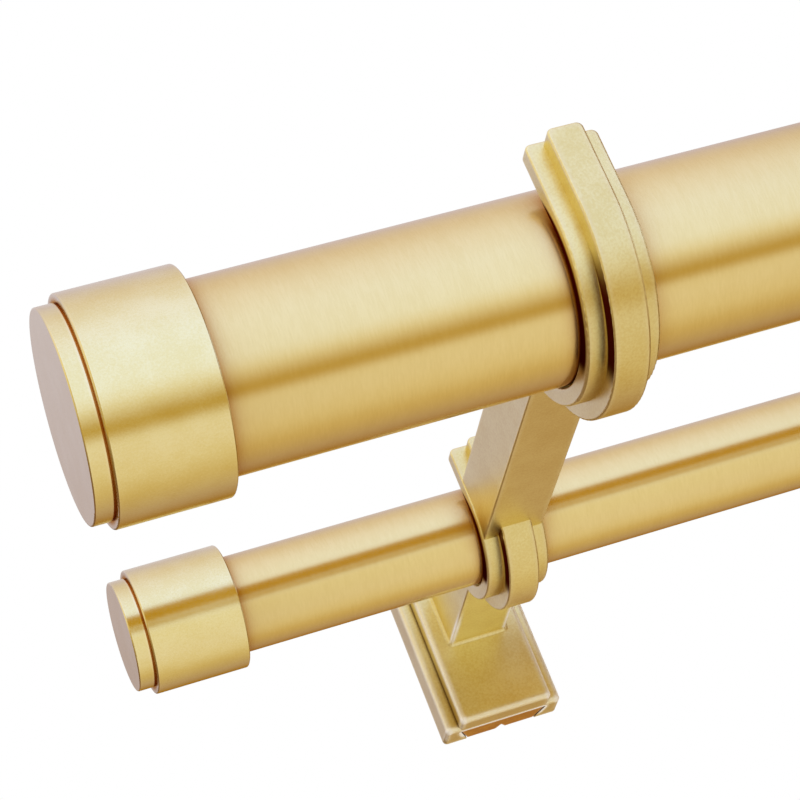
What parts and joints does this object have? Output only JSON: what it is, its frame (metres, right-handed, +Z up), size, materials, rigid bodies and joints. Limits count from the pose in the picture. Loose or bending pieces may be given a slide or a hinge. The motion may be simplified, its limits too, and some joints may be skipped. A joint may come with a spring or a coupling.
{
  "type": "double curtain pole",
  "caption": "Double curtain pole: a thick front tube and a thin rear tube with stepped end caps, resting in open cups on stepped cast brackets that hang on dovetail wall plates.",
  "frame": {"origin": "on the wall plane, midway between the brackets, at the height of both pole axes", "axes": "+X along the poles to the right as seen from the room, +Y into the wall, +Z up"},
  "size_m": [0.7224, 0.1963, 0.0552],
  "materials": {
    "pole_brass": "brushed, warm",
    "cap_brass": "satin, fine grain",
    "bracket_brass": "satin, fine grain",
    "plate_brass": "plain, orange brass",
    "screw_steel": "dark plain steel"
  },
  "bodies": {
    "root": {"front_pole": "pole_brass", "rear_pole": "pole_brass", "front_end_cap_left": "cap_brass", "front_end_cap_right": "cap_brass", "rear_end_cap_left": "cap_brass", "rear_end_cap_right": "cap_brass", "bracket_left": "bracket_brass", "bracket_right": "bracket_brass", "wall_plate_left": "plate_brass", "wall_plate_right": "plate_brass", "pole_lock_screws": "screw_steel", "cap_lock_screws": "screw_steel"}
  },
  "joints": []
}
